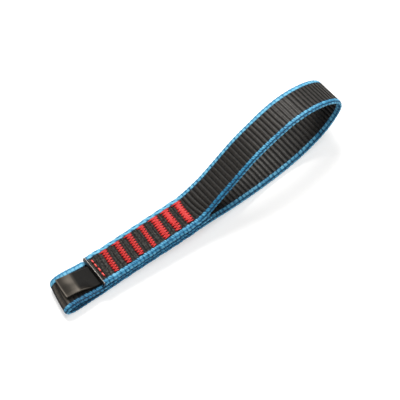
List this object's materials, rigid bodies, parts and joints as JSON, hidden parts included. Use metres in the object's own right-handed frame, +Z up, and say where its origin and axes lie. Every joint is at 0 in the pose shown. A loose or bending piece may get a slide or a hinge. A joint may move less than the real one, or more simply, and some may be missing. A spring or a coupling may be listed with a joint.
{
  "type": "climbing sling",
  "caption": "Short sewn webbing sling with one large open carabiner loop, one snug eye, bar-tacked stitched section and a folded woven label flap.",
  "frame": {"origin": "on the floor under the middle of the sling's bounding box, with the sling lying on the snug eye and the belly of the large loop", "axes": "+X along the sling towards the large loop, +Y across the webbing to the far edge, +Z up"},
  "size_m": [0.1429, 0.0247, 0.0302],
  "materials": {
    "ground_webbing": "ribbed black nylon webbing, matt with a slight sheen on the ribs",
    "selvedge_webbing": "blue nylon edge yarns, beaded weave, semi-matt",
    "label_satin": "black woven satin ribbon, soft sheen, bare of any print",
    "sewing_thread": "bonded red sewing thread, satin"
  },
  "bodies": {
    "sling": {"webbing_ground": "ground_webbing", "selvedge_near": "selvedge_webbing", "selvedge_far": "selvedge_webbing", "label_tail": "label_satin", "end_row_needle_thread": "sewing_thread", "end_row_bobbin_thread": "sewing_thread", "bar_tack_1_needle_thread": "sewing_thread", "bar_tack_1_bobbin_thread": "sewing_thread", "bar_tack_2_needle_thread": "sewing_thread", "bar_tack_2_bobbin_thread": "sewing_thread", "bar_tack_3_needle_thread": "sewing_thread", "bar_tack_3_bobbin_thread": "sewing_thread", "bar_tack_4_needle_thread": "sewing_thread", "bar_tack_4_bobbin_thread": "sewing_thread", "bar_tack_5_needle_thread": "sewing_thread", "bar_tack_5_bobbin_thread": "sewing_thread", "bar_tack_6_needle_thread": "sewing_thread", "bar_tack_6_bobbin_thread": "sewing_thread", "bar_tack_7_needle_thread": "sewing_thread", "bar_tack_7_bobbin_thread": "sewing_thread"},
    "label": {"label_flap": "label_satin"}
  },
  "joints": [
    {"name": "label_lift", "type": "hinge", "parent": "sling", "child": "label", "pos_m": [-0.0545, -0.00436, 0.00534], "axis": [0, 1, 0], "range_deg": [0, 75]}
  ]
}
